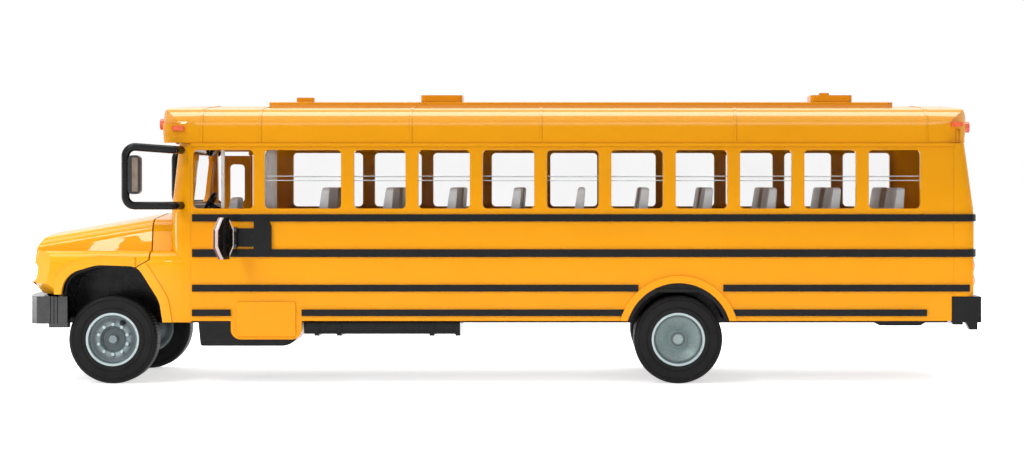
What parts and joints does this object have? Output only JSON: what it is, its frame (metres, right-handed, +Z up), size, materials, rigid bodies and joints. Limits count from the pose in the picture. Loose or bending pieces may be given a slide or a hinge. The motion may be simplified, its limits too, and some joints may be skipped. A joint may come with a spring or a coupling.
{
  "type": "toy school bus",
  "caption": "Die-cast toy school bus with long hood, raised black side rails, loop mirrors, tilting hood, swinging stop sign, opening entry door and free-rolling wheels.",
  "frame": {"origin": "on the ground plane, on the body's middle plane, halfway between the front bumper's and the rear bumper's outermost faces", "axes": "+X towards the rear of the bus, -X its front; +Y the kerb side with the entry door, -Y the driver's side with the stop sign; +Z up"},
  "size_m": [0.1932, 0.0609, 0.0592],
  "materials": {
    "body_paint": "glossy yellow-orange enamel",
    "black_plastic": "satin black molded plastic",
    "grey_plastic": "light grey molded plastic",
    "clear_plastic": "clear molded glazing",
    "lamp_red": "red-orange gloss paint",
    "sign_red": "red plate with a pale rim, blank",
    "mirror_plate": "mirror face in a black back",
    "axle_steel": "bright drawn wire",
    "wheel_grey": "blue-grey metallic plastic",
    "tyre_rubber": "black rubber"
  },
  "bodies": {
    "root": {"body_front": "body_paint", "body_rear": "body_paint", "body_roof": "body_paint", "body_side_left": "body_paint", "body_side_right": "body_paint", "roof_hatches": "body_paint", "roof_vent": "body_paint", "chassis": "black_plastic", "front_bumper": "black_plastic", "rear_bumper": "black_plastic", "front_well_left": "black_plastic", "front_well_right": "black_plastic", "rear_well_left": "black_plastic", "rear_well_right": "black_plastic", "step_tank": "black_plastic", "muffler": "black_plastic", "engine": "black_plastic", "rub_rails_left": "black_plastic", "rub_rails_right": "black_plastic", "mirror_loop_left": "black_plastic", "mirror_loop_right": "black_plastic", "stop_sign_bracket": "black_plastic", "steering_wheel": "black_plastic", "dashboard": "grey_plastic", "cabin_floor": "grey_plastic", "seats_left": "grey_plastic", "seats_right": "grey_plastic", "driver_seat": "grey_plastic", "glass_left": "clear_plastic", "glass_right": "clear_plastic", "glass_front": "clear_plastic", "glass_rear": "clear_plastic", "partition": "clear_plastic", "marker_lamps": "lamp_red", "tail_lamps": "lamp_red", "warning_lamps": "lamp_red", "mirror_head_left": "mirror_plate", "mirror_head_right": "mirror_plate"},
    "hood": {"hood": "body_paint", "grille": "black_plastic", "headlamps": "clear_plastic"},
    "stop_sign": {"stop_sign": "sign_red"},
    "entry_door": {"entry_door": "body_paint"},
    "front_wheels": {"front_axle": "axle_steel", "front_rims": "wheel_grey", "front_tyres": "tyre_rubber"},
    "rear_wheels": {"rear_axle": "axle_steel", "rear_rims": "wheel_grey", "rear_tyres": "tyre_rubber"}
  },
  "joints": [
    {"name": "hood_tilt", "type": "hinge", "parent": "root", "child": "hood", "pos_m": [-0.094, 0, 0.0199], "axis": [0, -1, 0], "range_deg": [0, 45]},
    {"name": "stop_sign_swing", "type": "hinge", "parent": "root", "child": "stop_sign", "pos_m": [-0.0527, -0.02445, 0.0294], "axis": [0, 0, 1], "range_deg": [0, 104]},
    {"name": "entry_door_swing", "type": "hinge", "parent": "root", "child": "entry_door", "pos_m": [-0.0563, 0.022, 0.03], "axis": [0, 0, -1], "range_deg": [0, 90]},
    {"name": "front_axle_spin", "type": "hinge", "parent": "root", "child": "front_wheels", "pos_m": [-0.07755, 0, 0.0089], "axis": [0, 1, 0], "continuous": true},
    {"name": "rear_axle_spin", "type": "hinge", "parent": "root", "child": "rear_wheels", "pos_m": [0.03597, 0, 0.0089], "axis": [0, 1, 0], "continuous": true}
  ]
}
